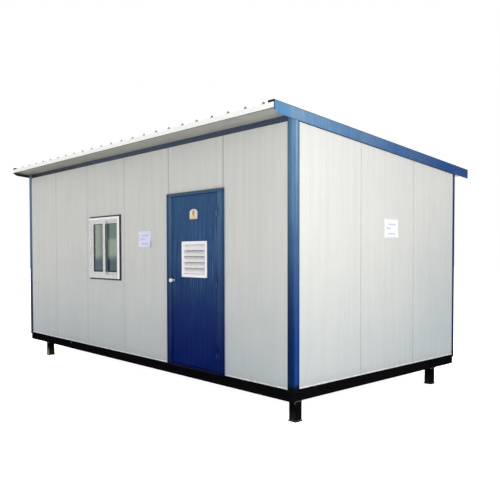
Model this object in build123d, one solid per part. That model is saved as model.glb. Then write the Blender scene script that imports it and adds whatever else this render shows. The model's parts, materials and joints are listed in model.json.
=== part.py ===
from build123d import *

import math
import os

# Prefabricated site office: a one-room cabin of tongue-and-groove sandwich panels on a steel base
# frame, with a lean-to roof of ribbed panels, one outward-opening door and one sliding window.
# Millimetres. +Z is up, the ground is z = 0, and the origin is below the middle of the roof in plan.
# The front, with the door and window, faces -Y. The roof is high at the front and falls to the back.

os.makedirs("parts", exist_ok=True)

# Cuts run past the faces they open by one of these
CUT_PAST = 1.0
CUT_FAR = 100.0

# Plan and heights
LENGTH = 6000.0
WIDTH = 3000.0
MODULE = 1000.0
WALL = 50.0
FRONT_HEIGHT = 2580.0
ROOF_FALL = 250.0
FRONT_EAVE = 250.0
BACK_EAVE = 300.0

# Base frame of channel beams, its joists and its legs
BASE_HEIGHT = 120.0
BASE_INSET = 15.0
BEAM_FLANGE = 53.0
BEAM_WEB_T = 6.0
BEAM_FLANGE_T = 8.0
JOIST_COUNT = 5
JOIST_WIDTH = 50.0
JOIST_HEIGHT = 100.0
DECK_T = 18.0
LEG_HEIGHT = 200.0
LEG_SIZE = 85.0
LEG_PLATE = 100.0
LEG_PLATE_T = 8.0
LEG_INSET = 60.0
LEFT_LEG_FROM_END = 620.0
NEAR_LEG_FROM_FRONT = 110.0
REAR_LEG_FROM_BACK = 480.0

# Wall panel section
TONGUE_WIDTH = 20.0
TONGUE_DEPTH = 12.0
GROOVES_PER_PANEL = 9
GROOVE_DEPTH = 2.0
GROOVE_MOUTH = 16.0
GROOVE_FLOOR = 8.0
JOINT_CHAMFER = 3.0

# Folded steel trims
SHEET = 2.0
TRIM_RADIUS = 14.0
TRIM_LONG_LEG = 100.0
TRIM_SHORT_LEG = 56.0
TRIM_LAP = 35.0
HEAD_LEG = 58.0
GABLE_HEAD_LEG = 48.0

# Roof panels and the verge trims at the two ends
ROOF_T = 50.0
RIBS_PER_PANEL = 4
RIB_HEIGHT = 20.0
RIB_BASE = 62.0
RIB_TOP = 26.0
RIB_OPEN_DEPTH = 60.0
VERGE_STANDOFF = 13.0
VERGE_DROP = 40.0
VERGE_FLANGE = 78.0
VERGE_CUT_LENGTH = 55.0
VERGE_CUT_HEIGHT = 26.0

# Door, in the second module from the right
DOOR_PANEL_NUMBER = 5
DOOR_FRAME_HEIGHT = 1980.0
FRAME_PROUD = 20.0
FRAME_LAP = 19.0
JAMB_FACE = 75.0
HEAD_FACE = 35.0
JAMB_STEP_WIDTH = 50.0
HEAD_STEP_WIDTH = 14.0
FRAME_STEP = 4.0
SILL_LAP = 12.0
STOP_OVERLAP = 8.0
DOOR_GAP = 5.0
STRIKE_GAP = 8.0
LEAF_T = 38.0
LEAF_RECESS = 15.0
LEAF_GROOVES = 8

# Louvred vent in the door
VENT_WIDTH = 460.0
VENT_HEIGHT = 402.0
VENT_CENTRE_FROM_LEFT = 501.0
VENT_CENTRE_HEIGHT = 1223.0
VENT_FLANGE = 32.0
VENT_FLANGE_T = 5.0
VENT_SLATS = 5
VENT_SLAT_T = 3.0
VENT_SLAT_TILT = 56.0
VENT_SLAT_INSET = 1.0
VENT_COLLAR_T = 4.0

# Door knob; its profile runs from neck to crown as (radius, distance from the rose)
KNOB_FROM_LEFT = 128.0
KNOB_HEIGHT = 980.0
KNOB_PROFILE = ((11.0, 0.0), (11.0, 26.0), (20.0, 35.0), (24.0, 47.0), (20.0, 62.0), (12.0, 66.0))
ROSE_RADIUS = 28.0
ROSE_T = 6.0
SPINDLE_RADIUS = 7.0
SPINDLE_CLEARANCE = 1.0

# Door hinges
HINGE_FROM_LEAF_END = 200.0
KNUCKLE_RADIUS = 8.0
KNUCKLE_LENGTH = 52.0
HINGE_PIN_RADIUS = 4.0
HINGE_CLEARANCE = 0.3
HINGE_STAND_OFF = 1.0
HINGE_STRAP_T = 3.0
HINGE_STRAP_WIDTH = 32.0

# Window, in the middle of the third module from the left
WINDOW_PANEL_NUMBER = 3
WINDOW_WIDTH = 810.0
WINDOW_HEIGHT = 822.0
WINDOW_SILL_HEIGHT = 956.0
WINDOW_PROUD = 20.0
WINDOW_LAP = 15.0
WINDOW_FACE = 50.0
SASH_STILE = 62.0
SASH_RAIL = 34.0
SASH_T = 22.0
TRACK_RIB = 3.0
TRACK_RIB_HEIGHT = 10.0
SASH_RECESS = 4.0
GLASS_T = 5.0

# Derived planes
x_left = -LENGTH / 2
x_right = LENGTH / 2
y_front = -(WIDTH + FRONT_EAVE + BACK_EAVE) / 2 + FRONT_EAVE
y_back = y_front + WIDTH
y_eave_front = y_front - FRONT_EAVE
y_eave_back = y_back + BACK_EAVE
z_base = LEG_HEIGHT
z_floor_frame = z_base + BASE_HEIGHT
slope = ROOF_FALL / WIDTH
groove_pitch = MODULE / GROOVES_PER_PANEL
trim_inner_radius = TRIM_RADIUS - SHEET
long_wall_count = math.ceil(LENGTH / MODULE)
wall_top = z_floor_frame + FRONT_HEIGHT + CUT_FAR
above_all = wall_top + CUT_FAR


def roof_z(y):
    """Height of the underside of the roof panels at depth y."""
    return z_floor_frame + FRONT_HEIGHT - slope * (y - y_front)


def save(node, *solids):
    """Write one node, made of one or more separate solids."""
    shape = solids[0] if len(solids) == 1 else Compound(children=list(solids))
    export_step(shape, f"parts/{node}.step")


def block(x0, x1, y0, y1, z0, z1):
    """A box from its lowest to its highest corner."""
    middle = ((x0 + x1) / 2, (y0 + y1) / 2, (z0 + z1) / 2)
    return Pos(*middle) * Box(x1 - x0, y1 - y0, z1 - z0)


def prism_z(points, z0, z1):
    """Extrude a plan outline upwards."""
    face = make_face(Polyline(*[(x, y, z0) for x, y in points], close=True))
    return extrude(face, amount=z1 - z0, dir=(0, 0, 1))


def prism_x(points, x0, x1):
    """Extrude an outline of (y, z) points along X."""
    face = make_face(Polyline(*[(x0, y, z) for y, z in points], close=True))
    return extrude(face, amount=x1 - x0, dir=(1, 0, 0))


def prism_y(points, y0, y1):
    """Extrude an outline of (x, z) points along Y."""
    face = make_face(Polyline(*[(x, y0, z) for x, z in points], close=True))
    return extrude(face, amount=y1 - y0, dir=(0, 1, 0))


def sloped_strip(x0, x1, y0, y1, low, high):
    """A strip that follows the roof fall, from low to high above the underside of the roof."""
    outline = [
        (y0, roof_z(y0) + low),
        (y1, roof_z(y1) + low),
        (y1, roof_z(y1) + high),
        (y0, roof_z(y0) + high),
    ]
    return prism_x(outline, x0, x1)


def under_roof(solid, gap=0.0):
    """Cut off what stands higher than the underside of the roof, less a gap."""
    y0 = y_eave_front - CUT_FAR
    y1 = y_eave_back + CUT_FAR
    outline = [
        (y0, roof_z(y0) - gap),
        (y1, roof_z(y1) - gap),
        (y1, above_all),
        (y0, above_all),
    ]
    return solid - prism_x(outline, x_left - CUT_FAR, x_right + CUT_FAR)


def panel_outline(width, start="groove", end="tongue"):
    """Section of a wall panel as (along, inwards) points, with shallow ribs in its outer face.

    An edge is a groove, a tongue, flat, or a corner whose outer arris is cut off for the trim.
    Grooves and tongues have chamfered arrises, which leave a small V at each joint.
    """
    centre = WALL / 2
    low = centre - TONGUE_WIDTH / 2
    high = centre + TONGUE_WIDTH / 2
    start_cut = {"corner": trim_inner_radius, "groove": JOINT_CHAMFER, "flat": 0.0}[start]
    end_cut = {"corner": trim_inner_radius, "tongue": JOINT_CHAMFER, "flat": 0.0}[end]
    outer_start = start_cut
    outer_end = width - end_cut
    points = [(outer_start, 0.0)]
    for k in range(GROOVES_PER_PANEL):
        middle = (k + 0.5) * groove_pitch
        if middle + GROOVE_MOUTH / 2 >= outer_end:
            break
        points += [
            (middle - GROOVE_MOUTH / 2, 0.0),
            (middle - GROOVE_FLOOR / 2, GROOVE_DEPTH),
            (middle + GROOVE_FLOOR / 2, GROOVE_DEPTH),
            (middle + GROOVE_MOUTH / 2, 0.0),
        ]
    points.append((outer_end, 0.0))
    if end_cut:
        points.append((width, end_cut))
    if end == "tongue":
        tip = width + TONGUE_DEPTH
        points += [(width, low), (tip, low), (tip, high), (width, high)]
        points += [(width, WALL - JOINT_CHAMFER), (width - JOINT_CHAMFER, WALL)]
    else:
        points.append((width, WALL))
    if start == "groove":
        points += [(JOINT_CHAMFER, WALL), (0.0, WALL - JOINT_CHAMFER)]
        points += [(0.0, high), (TONGUE_DEPTH, high), (TONGUE_DEPTH, low), (0.0, low)]
    else:
        points.append((0.0, WALL))
    if start_cut:
        points.append((0.0, start_cut))
    return points


def wall_panel(origin, along, inwards, width, z0, z1, start="groove", end="tongue"):
    """A wall panel from its outer bottom corner, with unit vectors along and into the wall."""
    points = []
    for u, v in panel_outline(width, start, end):
        x = origin[0] + along[0] * u + inwards[0] * v
        y = origin[1] + along[1] * u + inwards[1] * v
        points.append((x, y))
    return under_roof(prism_z(points, z0, z1), SHEET)


def long_wall_edges(number):
    """Width and edge kinds of panel 1, 2 ... of a long wall; the last is cut to what is left."""
    width = min(MODULE, LENGTH - (number - 1) * MODULE)
    start = "corner" if number == 1 else "groove"
    end = "corner" if number == long_wall_count else "tongue"
    return width, start, end


# Base frame: four channels with their webs outside, mitred at the corners
# The section is given as (distance inwards, height) points, from its outer face
channel = [
    (0, z_base),
    (BEAM_FLANGE, z_base),
    (BEAM_FLANGE, z_base + BEAM_FLANGE_T),
    (BEAM_WEB_T, z_base + BEAM_FLANGE_T),
    (BEAM_WEB_T, z_floor_frame - BEAM_FLANGE_T),
    (BEAM_FLANGE, z_floor_frame - BEAM_FLANGE_T),
    (BEAM_FLANGE, z_floor_frame),
    (0, z_floor_frame),
]
bx0 = x_left + BASE_INSET
bx1 = x_right - BASE_INSET
by0 = y_front + BASE_INSET
by1 = y_back - BASE_INSET
mitre = BEAM_FLANGE + CUT_PAST

front_mitre = [(bx0, by0), (bx1, by0), (bx1 - mitre, by0 + mitre), (bx0 + mitre, by0 + mitre)]
back_mitre = [(bx0, by1), (bx1, by1), (bx1 - mitre, by1 - mitre), (bx0 + mitre, by1 - mitre)]
left_mitre = [(bx0, by0), (bx0 + mitre, by0 + mitre), (bx0 + mitre, by1 - mitre), (bx0, by1)]
right_mitre = [(bx1, by0), (bx1 - mitre, by0 + mitre), (bx1 - mitre, by1 - mitre), (bx1, by1)]

front_section = [(by0 + d, z) for d, z in channel]
back_section = [(by1 - d, z) for d, z in channel]
left_section = [(bx0 + d, z) for d, z in channel]
right_section = [(bx1 - d, z) for d, z in channel]

beams = {
    "base_front_beam": (prism_x(front_section, bx0, bx1), front_mitre),
    "base_back_beam": (prism_x(back_section, bx0, bx1), back_mitre),
    "base_left_beam": (prism_y(left_section, by0, by1), left_mitre),
    "base_right_beam": (prism_y(right_section, by0, by1), right_mitre),
}
for node, (beam, outline) in beams.items():
    save(node, beam & prism_z(outline, z_base, z_floor_frame))

# Joists between the flange tips of the long beams, level with their tops
joist_pitch = (bx1 - bx0) / (JOIST_COUNT + 1)
joists = []
for k in range(JOIST_COUNT):
    middle = bx0 + (k + 1) * joist_pitch
    joists.append(
        block(
            middle - JOIST_WIDTH / 2,
            middle + JOIST_WIDTH / 2,
            by0 + BEAM_FLANGE,
            by1 - BEAM_FLANGE,
            z_floor_frame - JOIST_HEIGHT,
            z_floor_frame,
        )
    )
save("floor_joists", *joists)

# Floor deck inside the walls
deck = block(
    x_left + WALL, x_right - WALL, y_front + WALL, y_back - WALL, z_floor_frame, z_floor_frame + DECK_T
)
save("floor_deck", deck)


# Legs: short box posts on foot plates, two under the right beam and two under the long beams
def leg(x, y):
    """A leg under the base frame, its foot plate on the ground."""
    post = Pos(x, y, LEG_PLATE_T) * extrude(Rectangle(LEG_SIZE, LEG_SIZE), LEG_HEIGHT - LEG_PLATE_T)
    plate = Pos(x, y, 0) * extrude(Rectangle(LEG_PLATE, LEG_PLATE), LEG_PLATE_T)
    return post + plate


leg_places = [
    (x_right - LEG_INSET, y_front + NEAR_LEG_FROM_FRONT),
    (x_right - LEG_INSET, y_back - REAR_LEG_FROM_BACK),
    (x_left + LEFT_LEG_FROM_END, y_front + LEG_INSET),
    (x_left + LEFT_LEG_FROM_END, y_back - LEG_INSET),
]
save("legs", *[leg(x, y) for x, y in leg_places])

# Front wall panels: plain ones, the one round the window and the one over the door
door_left = x_left + (DOOR_PANEL_NUMBER - 1) * MODULE
door_right = door_left + MODULE
window_centre = x_left + (WINDOW_PANEL_NUMBER - 0.5) * MODULE
window_z0 = z_floor_frame + WINDOW_SILL_HEIGHT
window_z1 = window_z0 + WINDOW_HEIGHT
window_hole = block(
    window_centre - WINDOW_WIDTH / 2 + WINDOW_LAP,
    window_centre + WINDOW_WIDTH / 2 - WINDOW_LAP,
    y_front - CUT_FAR,
    y_front + WALL + CUT_FAR,
    window_z0 + WINDOW_LAP,
    window_z1 - WINDOW_LAP,
)

for number in range(1, long_wall_count + 1):
    width, start, end = long_wall_edges(number)
    bottom = z_floor_frame
    name = f"front_panel_{number}"
    if number == DOOR_PANEL_NUMBER:
        start, end = "flat", "flat"
        bottom = z_floor_frame + DOOR_FRAME_HEIGHT
        name = "front_over_door_panel"
    if number == DOOR_PANEL_NUMBER - 1:
        end = "flat"
    if number == DOOR_PANEL_NUMBER + 1:
        start = "flat"
    origin = (x_left + (number - 1) * MODULE, y_front)
    panel = wall_panel(origin, (1, 0), (0, 1), width, bottom, wall_top, start, end)
    if number == WINDOW_PANEL_NUMBER:
        name = "front_window_panel"
        panel -= window_hole
    save(name, panel)

# Back wall panels, numbered from the left as seen from behind
for number in range(1, long_wall_count + 1):
    width, start, end = long_wall_edges(number)
    origin = (x_right - (number - 1) * MODULE, y_back)
    panel = wall_panel(origin, (-1, 0), (0, -1), width, z_floor_frame, wall_top, start, end)
    save(f"back_panel_{number}", panel)

# Gable panels between the long walls; the last one is cut to what is left
gable_clear = WIDTH - 2 * WALL
gable_count = math.ceil(gable_clear / MODULE)
for side in ("left", "right"):
    for number in range(1, gable_count + 1):
        width = min(MODULE, gable_clear - (number - 1) * MODULE)
        start = "flat" if number == 1 else "groove"
        end = "flat" if number == gable_count else "tongue"
        y = y_front + WALL + (number - 1) * MODULE
        origin = (x_right, y) if side == "right" else (x_left, y)
        inwards = (-1, 0) if side == "right" else (1, 0)
        panel = wall_panel(origin, (0, 1), inwards, width, z_floor_frame, wall_top, start, end)
        save(f"{side}_gable_panel_{number}", panel)


# Corner trims: folded angles with a round arris; each turns a quarter from the one before
def corner_trim(x, y, long_way, short_way):
    """An angle round the wall corner (x, y), with unit vectors along its long and short legs."""
    out = SHEET
    outer = (-(long_way[0] + short_way[0]) * out, -(long_way[1] + short_way[1]) * out)

    def at(along_long, along_short):
        """Plan point measured from the outer corner of the trim."""
        return (
            x + outer[0] + long_way[0] * along_long + short_way[0] * along_short,
            y + outer[1] + long_way[1] * along_long + short_way[1] * along_short,
        )

    z = z_floor_frame - TRIM_LAP
    long_end = TRIM_LONG_LEG + out
    short_end = TRIM_SHORT_LEG + out
    bend = TRIM_RADIUS * (1 - math.sqrt(0.5))
    inner_bend = out + trim_inner_radius * (1 - math.sqrt(0.5))
    edges = [
        Line((*at(long_end, 0), z), (*at(TRIM_RADIUS, 0), z)),
        ThreePointArc((*at(TRIM_RADIUS, 0), z), (*at(bend, bend), z), (*at(0, TRIM_RADIUS), z)),
        Line((*at(0, TRIM_RADIUS), z), (*at(0, short_end), z)),
        Line((*at(0, short_end), z), (*at(out, short_end), z)),
        Line((*at(out, short_end), z), (*at(out, TRIM_RADIUS), z)),
        ThreePointArc(
            (*at(out, TRIM_RADIUS), z), (*at(inner_bend, inner_bend), z), (*at(TRIM_RADIUS, out), z)
        ),
        Line((*at(TRIM_RADIUS, out), z), (*at(long_end, out), z)),
        Line((*at(long_end, out), z), (*at(long_end, 0), z)),
    ]
    section = make_face(Wire(edges))
    return under_roof(extrude(section, amount=wall_top - z, dir=(0, 0, 1)))


save(
    "front_corner_trims",
    corner_trim(x_right, y_front, (0, 1), (-1, 0)),
    corner_trim(x_left, y_front, (1, 0), (0, 1)),
)
save(
    "back_corner_trims",
    corner_trim(x_left, y_back, (0, -1), (1, 0)),
    corner_trim(x_right, y_back, (-1, 0), (0, -1)),
)


# Head tracks: channels over the tops of the walls, between the corner trims
def long_head_track(y_outer, inwards, x0, x1):
    """The channel on a long wall, level along X, its web on the slope of the roof."""
    y_in = y_outer + inwards * WALL
    y_o = y_outer - inwards * SHEET
    y_i = y_in + inwards * SHEET
    foot = roof_z(y_outer) - HEAD_LEG
    outline = [
        (y_o, foot),
        (y_o, roof_z(y_o)),
        (y_i, roof_z(y_i)),
        (y_i, foot),
        (y_in, foot),
        (y_in, roof_z(y_in) - SHEET),
        (y_outer, roof_z(y_outer) - SHEET),
        (y_outer, foot),
    ]
    return prism_x(outline, x0, x1)


def gable_head_track(x_outer, inwards, y0, y1):
    """The channel on a gable, following the fall of the roof."""
    x_o = x_outer - inwards * SHEET
    x_in = x_outer + inwards * WALL
    x_i = x_in + inwards * SHEET
    outer_leg = sloped_strip(min(x_o, x_outer), max(x_o, x_outer), y0, y1, -GABLE_HEAD_LEG, 0)
    inner_leg = sloped_strip(min(x_in, x_i), max(x_in, x_i), y0, y1, -GABLE_HEAD_LEG, 0)
    web = sloped_strip(min(x_o, x_i), max(x_o, x_i), y0, y1, -SHEET, 0)
    return web + outer_leg + inner_leg


save(
    "head_tracks",
    long_head_track(y_front, 1, x_left + TRIM_LONG_LEG, x_right - TRIM_SHORT_LEG),
    long_head_track(y_back, -1, x_left + TRIM_SHORT_LEG, x_right - TRIM_LONG_LEG),
    gable_head_track(x_right, -1, y_front + TRIM_LONG_LEG, y_back - TRIM_SHORT_LEG),
    gable_head_track(x_left, 1, y_front + TRIM_SHORT_LEG, y_back - TRIM_LONG_LEG),
)

# Roof panels with trapezoid ribs that run down the slope and are open at both ends
roof_x0 = x_left - VERGE_STANDOFF
roof_x1 = x_right + VERGE_STANDOFF
rib_pitch = MODULE / RIBS_PER_PANEL


rib_side_run = (RIB_BASE - RIB_TOP) / 2
rib_side_inset = SHEET * math.hypot(rib_side_run, RIB_HEIGHT) / RIB_HEIGHT


def down_slope(points, y, length):
    """Extrude an outline of (x, height above the roof's front lower edge) points down the slope."""
    z0 = roof_z(y)
    face = make_face(Polyline(*[(x, y, z0 + height) for x, height in points], close=True))
    return extrude(face, amount=math.hypot(length, slope * length), dir=(0, 1, -slope))


def rib_hollow(middle, y):
    """The space inside the end of one rib, under the upper sheet."""
    base = RIB_BASE / 2 - rib_side_inset
    top_height = RIB_HEIGHT - SHEET
    top = base - rib_side_run * top_height / RIB_HEIGHT
    outline = [
        (middle - base, ROOF_T),
        (middle - top, ROOF_T + top_height),
        (middle + top, ROOF_T + top_height),
        (middle + base, ROOF_T),
    ]
    return down_slope(outline, y, RIB_OPEN_DEPTH + CUT_PAST)


def roof_panel(number):
    """Roof panel 1, 2 ... over the full depth of the roof; the end ones reach the verge trims."""
    left = x_left + (number - 1) * MODULE
    x0 = roof_x0 if number == 1 else left
    x1 = roof_x1 if number == long_wall_count else left + MODULE
    points = [(x0, 0.0), (x0, ROOF_T)]
    hollows = []
    for k in range(RIBS_PER_PANEL):
        middle = left + (k + 0.5) * rib_pitch
        if middle + RIB_BASE / 2 >= x1:
            break
        points += [
            (middle - RIB_BASE / 2, ROOF_T),
            (middle - RIB_TOP / 2, ROOF_T + RIB_HEIGHT),
            (middle + RIB_TOP / 2, ROOF_T + RIB_HEIGHT),
            (middle + RIB_BASE / 2, ROOF_T),
        ]
        hollows.append(rib_hollow(middle, y_eave_front - CUT_PAST))
        hollows.append(rib_hollow(middle, y_eave_back - RIB_OPEN_DEPTH))
    points += [(x1, ROOF_T), (x1, 0.0)]
    panel = down_slope(points, y_eave_front, y_eave_back - y_eave_front)
    for hollow in hollows:
        panel -= hollow
    return panel


for number in range(1, long_wall_count + 1):
    save(f"roof_panel_{number}", roof_panel(number))


# Verge trims: folded channels over the two ends of the roof
def verge_trim(side):
    """The trim on the right (side 1) or left (side -1) end of the roof."""
    inner = (x_right + VERGE_STANDOFF) * side
    outer = inner + SHEET * side
    top = ROOF_T + RIB_HEIGHT + SHEET
    lip = (x_right + VERGE_STANDOFF - VERGE_FLANGE) * side
    wall_face = (x_right + SHEET) * side
    web = sloped_strip(min(inner, outer), max(inner, outer), y_eave_front, y_eave_back, -VERGE_DROP, top)
    flange = sloped_strip(min(lip, outer), max(lip, outer), y_eave_front, y_eave_back, top - SHEET, top)
    lip_in = lip + SHEET * side
    fold = sloped_strip(min(lip, lip_in), max(lip, lip_in), y_eave_front, y_eave_back, ROOF_T, top)
    foot = sloped_strip(
        min(wall_face, outer),
        max(wall_face, outer),
        y_eave_front,
        y_eave_back,
        -VERGE_DROP,
        -VERGE_DROP + SHEET,
    )
    low = roof_z(y_eave_front) - VERGE_DROP
    cut = [
        (y_eave_front - CUT_PAST, low - CUT_FAR),
        (y_eave_front + VERGE_CUT_LENGTH, low - CUT_FAR),
        (y_eave_front + VERGE_CUT_LENGTH, low - slope * VERGE_CUT_LENGTH),
        (y_eave_front, low + VERGE_CUT_HEIGHT),
        (y_eave_front - CUT_PAST, low + VERGE_CUT_HEIGHT),
    ]
    shape = web + flange + fold + foot
    return shape - prism_x(cut, min(wall_face, outer) - CUT_PAST, max(wall_face, outer) + CUT_PAST)


save("right_verge_trim", verge_trim(1))
save("left_verge_trim", verge_trim(-1))

# Door frame: jambs that lap over the panels beside it, head, stops, and a sill that laps over the base
frame_x0 = door_left - FRAME_LAP
frame_x1 = door_right + FRAME_LAP
frame_y0 = y_front - FRAME_PROUD
frame_y1 = y_front + WALL
frame_top = z_floor_frame + DOOR_FRAME_HEIGHT
sill_top = z_floor_frame + DECK_T
clear_x0 = door_left + JAMB_FACE
clear_x1 = door_right - JAMB_FACE
clear_z1 = frame_top - HEAD_FACE
leaf_y0 = frame_y0 + LEAF_RECESS
leaf_y1 = leaf_y0 + LEAF_T
leaf_x0 = clear_x0 + STRIKE_GAP
leaf_x1 = clear_x1 - DOOR_GAP
leaf_z0 = sill_top + DOOR_GAP
leaf_z1 = clear_z1 - DOOR_GAP
stop_y0 = leaf_y1 + DOOR_GAP
stop_in = STRIKE_GAP + STOP_OVERLAP

door_frame = block(frame_x0, frame_x1, frame_y0, y_front, z_floor_frame, frame_top)
door_frame += block(door_left, door_right, y_front, frame_y1, z_floor_frame, frame_top)
door_frame -= block(clear_x0, clear_x1, frame_y0 - CUT_PAST, frame_y1 + CUT_PAST, sill_top, clear_z1)
step = block(
    frame_x0 - CUT_PAST,
    frame_x1 + CUT_PAST,
    frame_y0 - CUT_PAST,
    frame_y0 + FRAME_STEP,
    z_floor_frame - CUT_PAST,
    frame_top + CUT_PAST,
)
step -= block(
    frame_x0 + JAMB_STEP_WIDTH,
    frame_x1 - JAMB_STEP_WIDTH,
    frame_y0 - CUT_FAR,
    frame_y0 + CUT_FAR,
    z_floor_frame - CUT_FAR,
    frame_top - HEAD_STEP_WIDTH,
)
door_frame -= step
door_frame += block(frame_x0, frame_x1, frame_y0, y_front, z_floor_frame - SILL_LAP, z_floor_frame)
stops = block(clear_x0, clear_x1, stop_y0, frame_y1, sill_top, clear_z1)
stops -= block(
    clear_x0 + stop_in,
    clear_x1 - stop_in,
    stop_y0 - CUT_PAST,
    frame_y1 + CUT_PAST,
    sill_top - CUT_PAST,
    clear_z1 - stop_in,
)
save("door_frame", door_frame + stops)

# Door leaf with pressed grooves, the vent's hole and the knob's bore
vent_x = door_left + VENT_CENTRE_FROM_LEFT
vent_z = z_floor_frame + VENT_CENTRE_HEIGHT
vent_hole_width = VENT_WIDTH - 2 * VENT_FLANGE
vent_hole_height = VENT_HEIGHT - 2 * VENT_FLANGE
knob_x = door_left + KNOB_FROM_LEFT
knob_z = z_floor_frame + KNOB_HEIGHT
hinge_x = leaf_x1 + DOOR_GAP / 2
hinge_y = frame_y0 - HINGE_STAND_OFF - KNUCKLE_RADIUS

leaf_width = leaf_x1 - leaf_x0
leaf_points = [(leaf_x0, leaf_y0)]
for k in range(1, LEAF_GROOVES + 1):
    middle = leaf_x0 + leaf_width * k / (LEAF_GROOVES + 1)
    leaf_points += [
        (middle - GROOVE_MOUTH / 2, leaf_y0),
        (middle - GROOVE_FLOOR / 2, leaf_y0 + GROOVE_DEPTH),
        (middle + GROOVE_FLOOR / 2, leaf_y0 + GROOVE_DEPTH),
        (middle + GROOVE_MOUTH / 2, leaf_y0),
    ]
leaf_points += [(leaf_x1, leaf_y0), (leaf_x1, leaf_y1), (leaf_x0, leaf_y1)]
leaf = prism_z(leaf_points, leaf_z0, leaf_z1)
leaf -= block(
    vent_x - vent_hole_width / 2,
    vent_x + vent_hole_width / 2,
    leaf_y0 - CUT_PAST,
    leaf_y1 + CUT_PAST,
    vent_z - vent_hole_height / 2,
    vent_z + vent_hole_height / 2,
)


def along_y(radius, y0, y1, x, z):
    """A round bar along Y."""
    return Pos(x, (y0 + y1) / 2, z) * Rot(90, 0, 0) * Cylinder(radius, y1 - y0)


leaf += along_y(ROSE_RADIUS, leaf_y0 - ROSE_T, leaf_y0 + 2 * GROOVE_DEPTH, knob_x, knob_z)
leaf += along_y(ROSE_RADIUS, leaf_y1, leaf_y1 + ROSE_T, knob_x, knob_z)
leaf -= along_y(
    SPINDLE_RADIUS + SPINDLE_CLEARANCE, leaf_y0 - CUT_FAR, leaf_y1 + CUT_FAR, knob_x, knob_z
)


# Hinges: a knuckle with a pin on the frame, and one with a bore on the leaf, standing on it
def knuckle(z0, z1, radius=KNUCKLE_RADIUS):
    """A round bar along the hinge axis."""
    return Pos(hinge_x, hinge_y, (z0 + z1) / 2) * Cylinder(radius, z1 - z0)


strap_y0 = frame_y0 - HINGE_STRAP_T
bore_radius = HINGE_PIN_RADIUS + HINGE_CLEARANCE
fixed_hinges = []
for z in (leaf_z0 + HINGE_FROM_LEAF_END, (leaf_z0 + leaf_z1) / 2, leaf_z1 - HINGE_FROM_LEAF_END):
    low = z - KNUCKLE_LENGTH
    high = z + KNUCKLE_LENGTH
    pin_top = high - HINGE_STRAP_T
    fixed = knuckle(low, z) + knuckle(z, pin_top, HINGE_PIN_RADIUS)
    fixed += block(hinge_x, hinge_x + HINGE_STRAP_WIDTH, strap_y0, frame_y0, low, z)
    fixed_hinges.append(fixed)
    moving = knuckle(z + HINGE_CLEARANCE, high)
    moving += block(hinge_x - HINGE_STRAP_WIDTH, hinge_x, strap_y0, leaf_y0, z + HINGE_CLEARANCE, high)
    leaf += moving - knuckle(z, pin_top + HINGE_CLEARANCE, bore_radius)
save("door_hinges", *fixed_hinges)
save("door_leaf", leaf)

# Louvred vent: a flanged collar through the leaf with slats that shed water outwards
vent = block(
    vent_x - VENT_WIDTH / 2,
    vent_x + VENT_WIDTH / 2,
    leaf_y0 - VENT_FLANGE_T,
    leaf_y0,
    vent_z - VENT_HEIGHT / 2,
    vent_z + VENT_HEIGHT / 2,
)
vent += block(
    vent_x - vent_hole_width / 2,
    vent_x + vent_hole_width / 2,
    leaf_y0,
    leaf_y1,
    vent_z - vent_hole_height / 2,
    vent_z + vent_hole_height / 2,
)
inner_width = vent_hole_width - 2 * VENT_COLLAR_T
inner_height = vent_hole_height - 2 * VENT_COLLAR_T
vent -= block(
    vent_x - inner_width / 2,
    vent_x + inner_width / 2,
    leaf_y0 - VENT_FLANGE_T - CUT_PAST,
    leaf_y1 + CUT_PAST,
    vent_z - inner_height / 2,
    vent_z + inner_height / 2,
)
slat_pitch = inner_height / VENT_SLATS
slat_tilt = math.radians(VENT_SLAT_TILT)
slat_room = LEAF_T + VENT_FLANGE_T - 2 * VENT_SLAT_INSET
slat_depth = (slat_room - VENT_SLAT_T * math.sin(slat_tilt)) / math.cos(slat_tilt)
slat_y = (leaf_y0 - VENT_FLANGE_T + leaf_y1) / 2
for k in range(VENT_SLATS):
    z = vent_z - inner_height / 2 + (k + 0.5) * slat_pitch
    slat = Box(inner_width, slat_depth, VENT_SLAT_T)
    vent += Pos(vent_x, slat_y, z) * Rot(VENT_SLAT_TILT, 0, 0) * slat
save("door_vent", vent)


# Knob: turned knobs on both faces of the leaf, on one spindle
def turned_knob(base, outwards):
    """A knob turned about the spindle axis, from its base plane outwards (-1 or 1 along Y)."""
    length = KNOB_PROFILE[-1][1]
    half = [(0.0, 0.0), *KNOB_PROFILE, (0.0, length)]
    points = [(knob_x + r, base + outwards * d, knob_z) for r, d in half]
    section = make_face(Polyline(*points, close=True))
    return revolve(section, Axis((knob_x, 0, knob_z), (0, 1, 0)), 360)


knob_front = leaf_y0 - ROSE_T - SPINDLE_CLEARANCE / 2
knob_rear = leaf_y1 + ROSE_T + SPINDLE_CLEARANCE / 2
knob = turned_knob(knob_front, -1) + turned_knob(knob_rear, 1)
knob += along_y(SPINDLE_RADIUS, knob_front, knob_rear, knob_x, knob_z)
save("door_knob", knob)


# Window: a frame through the wall, two sliding sashes on two tracks, and their panes
def ring(x0, x1, z0, z1, stile, rail, y0, y1):
    """A rectangular frame: upright members of width stile, level ones of width rail."""
    outer = block(x0, x1, y0, y1, z0, z1)
    return outer - block(x0 + stile, x1 - stile, y0 - CUT_PAST, y1 + CUT_PAST, z0 + rail, z1 - rail)


win_x0 = window_centre - WINDOW_WIDTH / 2
win_x1 = window_centre + WINDOW_WIDTH / 2
win_y0 = y_front - WINDOW_PROUD
win_y1 = y_front + WALL
in_x0 = win_x0 + WINDOW_FACE
in_x1 = win_x1 - WINDOW_FACE
in_z0 = window_z0 + WINDOW_FACE
in_z1 = window_z1 - WINDOW_FACE
outer_sash_y0 = win_y0 + SASH_RECESS
outer_sash_y1 = outer_sash_y0 + SASH_T
inner_sash_y0 = outer_sash_y1 + TRACK_RIB

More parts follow.
